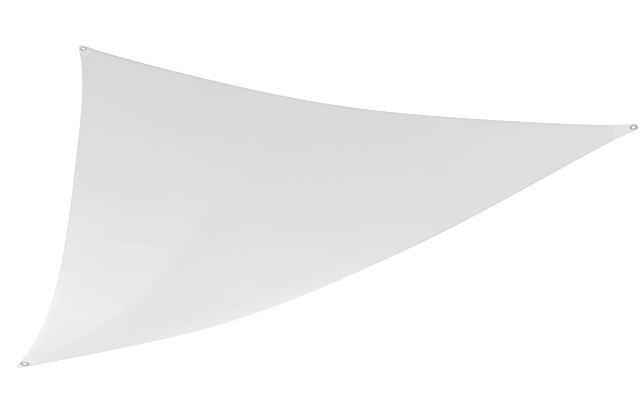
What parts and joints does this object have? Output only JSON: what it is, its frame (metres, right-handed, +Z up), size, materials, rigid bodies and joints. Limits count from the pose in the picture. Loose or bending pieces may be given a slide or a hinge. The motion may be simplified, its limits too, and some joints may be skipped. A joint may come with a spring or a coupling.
{
  "type": "triangular shade sail",
  "caption": "Triangular cloth shade sail in its hung shape: inward-curved hemmed edges, a lapped panel seam, and a metal eyelet through a folded patch at each corner.",
  "frame": {"origin": "centre of eyelet b, in the middle of the thickness of its patch; b is the raised corner", "axes": "+Z up; +X level, from the edge between corners c and a towards corner b; +Y level, from corner c to corner a"},
  "size_m": [3.1, 3.5911, 0.4409],
  "materials": {
    "sail_cloth": "matt tightly woven polyester, pale grey-white",
    "patch_cloth": "matt doubled polyester, a little lighter than the sail",
    "eyelet_metal": "satin pressed stainless steel"
  },
  "bodies": {
    "root": {"panel_main": "sail_cloth", "panel_corner": "sail_cloth", "patch_a": "patch_cloth", "patch_b": "patch_cloth", "patch_c": "patch_cloth", "eyelet_a": "eyelet_metal", "eyelet_b": "eyelet_metal", "eyelet_c": "eyelet_metal", "washer_a": "eyelet_metal", "washer_b": "eyelet_metal", "washer_c": "eyelet_metal"}
  },
  "joints": []
}
